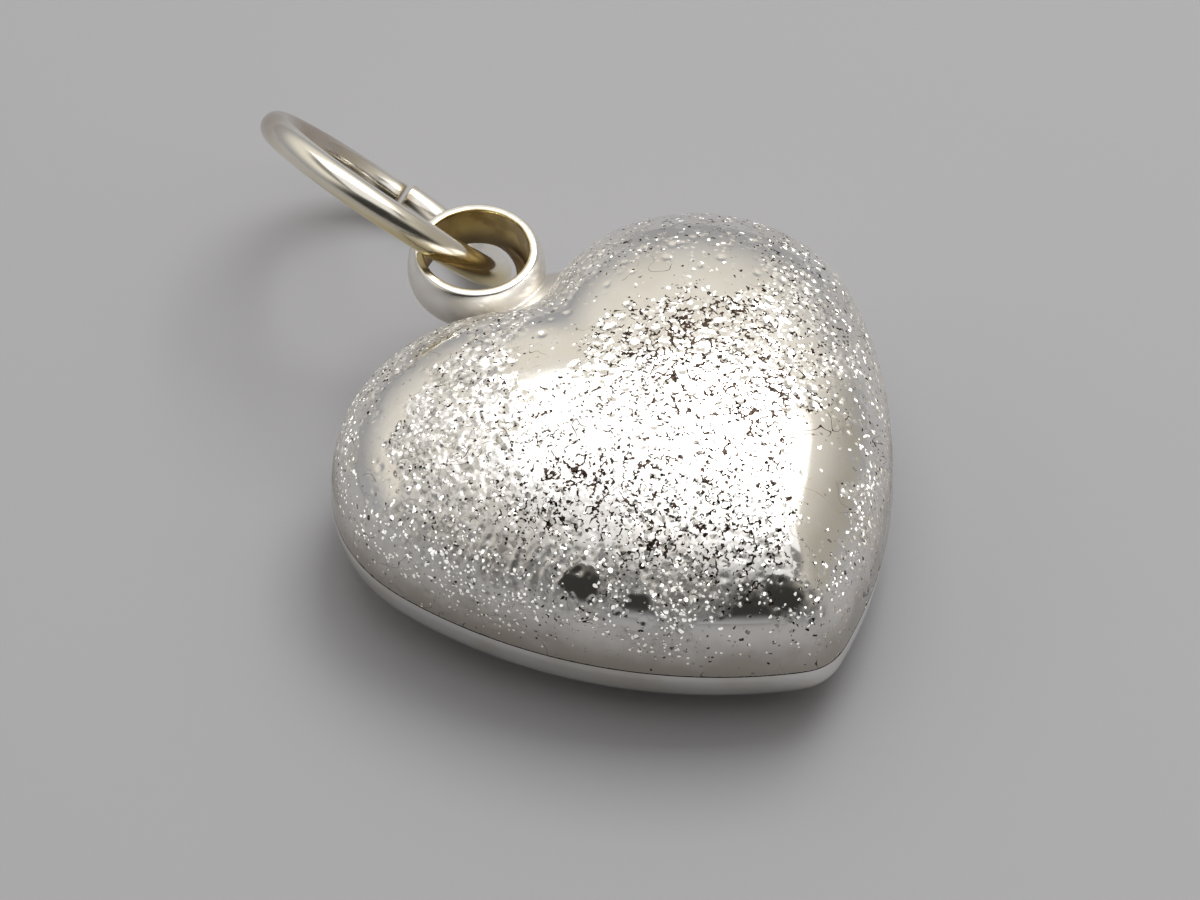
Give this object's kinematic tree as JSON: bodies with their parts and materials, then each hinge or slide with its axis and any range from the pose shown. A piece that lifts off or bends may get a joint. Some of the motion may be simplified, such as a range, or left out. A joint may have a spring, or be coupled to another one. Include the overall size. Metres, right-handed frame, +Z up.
{
  "type": "heart pendant",
  "caption": "Puffed heart pendant pressed as two hollow halves, with a soldered eyelet and an open jump ring that swings in it to take a chain or cord.",
  "frame": {"origin": "on the floor under the heart, in the middle of the small flat that its back rests on", "axes": "+Z up, out of the heart's front; +Y from the heart's tip to the eyelet; +X to the right, seen from the front"},
  "size_m": [0.016, 0.0239, 0.0067],
  "materials": {
    "stardust_silver": "bright silver struck all over with fine sparkling pits, some patches left as a mirror",
    "polished_silver": "polished silver",
    "silver_solder": "dull silver solder, inside the seam",
    "eyelet_silver": "polished silver with a faint warm tarnish inside the bore",
    "ring_silver": "polished silver with a warm straw tint"
  },
  "bodies": {
    "pendant": {"front_shell": "stardust_silver", "back_shell": "polished_silver", "seam_bead": "silver_solder", "eyelet": "eyelet_silver"},
    "jump_ring": {"jump_ring": "ring_silver"}
  },
  "joints": [
    {"name": "jump_ring_swing", "type": "hinge", "parent": "pendant", "child": "jump_ring", "pos_m": [-0.0004, 0.00945, 0.00385], "axis": [0.8792, 0.1869, 0.4384], "range_deg": [-15, 70]}
  ]
}
